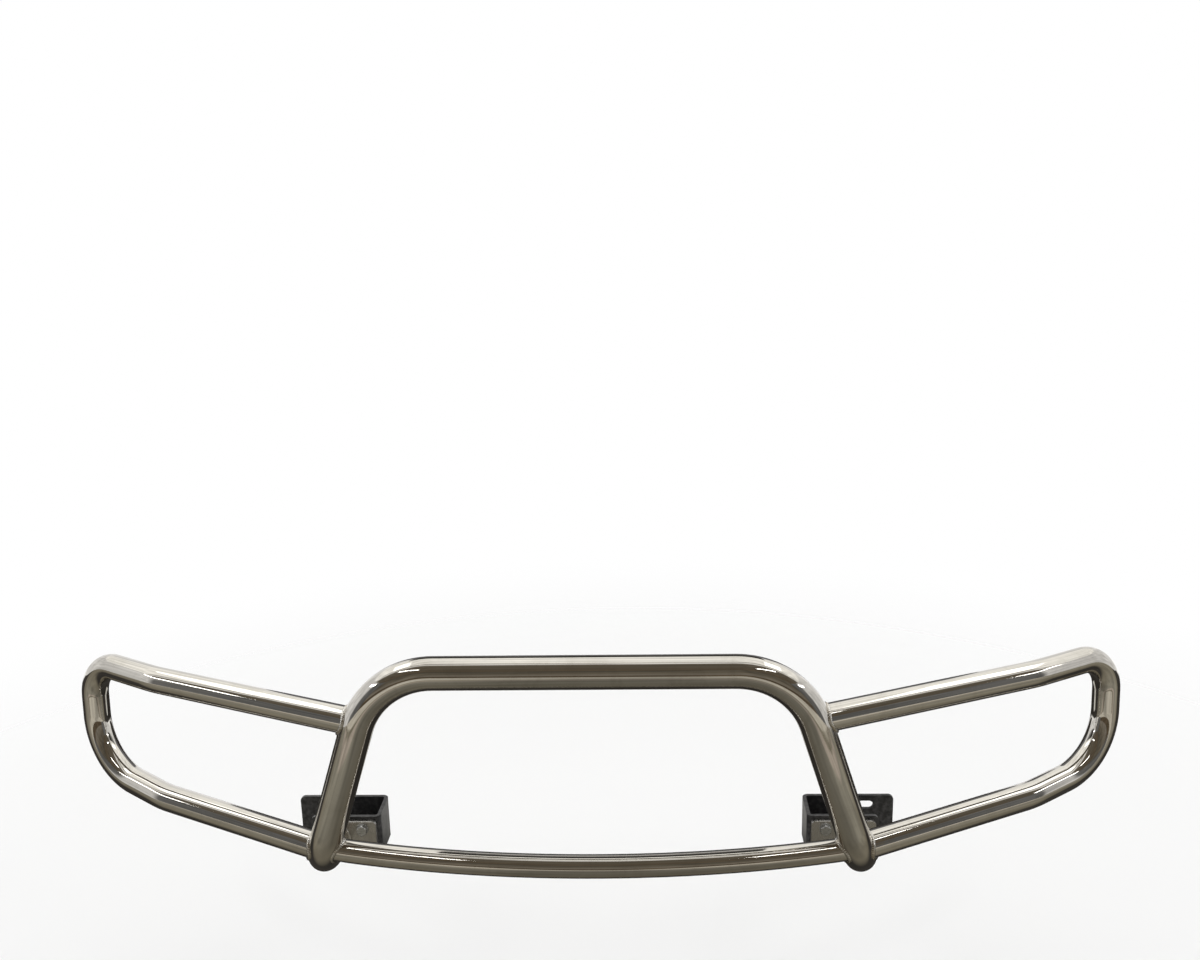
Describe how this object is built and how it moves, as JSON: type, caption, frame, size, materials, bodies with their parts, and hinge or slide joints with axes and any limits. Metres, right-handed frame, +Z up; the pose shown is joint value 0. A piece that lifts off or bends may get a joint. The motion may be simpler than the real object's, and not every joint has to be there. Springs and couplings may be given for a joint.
{
  "type": "front grille guard",
  "caption": "Polished tubular front grille guard: central hoop with swept wing loops, bowed lower cross tube, and bolt-on frame brackets with slotted holes.",
  "frame": {"origin": "centre of the four frame bolts, on the rear faces of the two frame brackets", "axes": "+Z up, +Y back towards the vehicle, +X to the right of someone who faces the grille"},
  "size_m": [1.7144, 0.2839, 0.3934],
  "materials": {
    "polished_tube": "mirror-polished stainless steel",
    "weld": "dressed weld bead, satin",
    "flange_steel": "satin stainless plate",
    "bracket_paint": "black powder coat, fine texture",
    "zinc_fastener": "bright zinc plate"
  },
  "bodies": {
    "root": {"hoop_tube": "polished_tube", "lower_cross_tube": "polished_tube", "right_wing_tube": "polished_tube", "left_wing_tube": "polished_tube", "right_cross_tube_weld": "weld", "left_cross_tube_weld": "weld", "right_wing_top_weld": "weld", "left_wing_top_weld": "weld", "right_wing_low_weld": "weld", "left_wing_low_weld": "weld", "right_flange_plate": "flange_steel", "left_flange_plate": "flange_steel", "right_flange_weld": "weld", "left_flange_weld": "weld", "right_frame_bracket": "bracket_paint", "left_frame_bracket": "bracket_paint", "right_gusset": "bracket_paint", "left_gusset": "bracket_paint", "right_gusset_weld": "bracket_paint", "left_gusset_weld": "bracket_paint", "right_flange_bolts": "zinc_fastener", "left_flange_bolts": "zinc_fastener", "right_head_washers": "zinc_fastener", "left_head_washers": "zinc_fastener", "right_nut_washers": "zinc_fastener", "left_nut_washers": "zinc_fastener", "right_spring_washers": "zinc_fastener", "left_spring_washers": "zinc_fastener", "right_nuts": "zinc_fastener", "left_nuts": "zinc_fastener"}
  },
  "joints": []
}
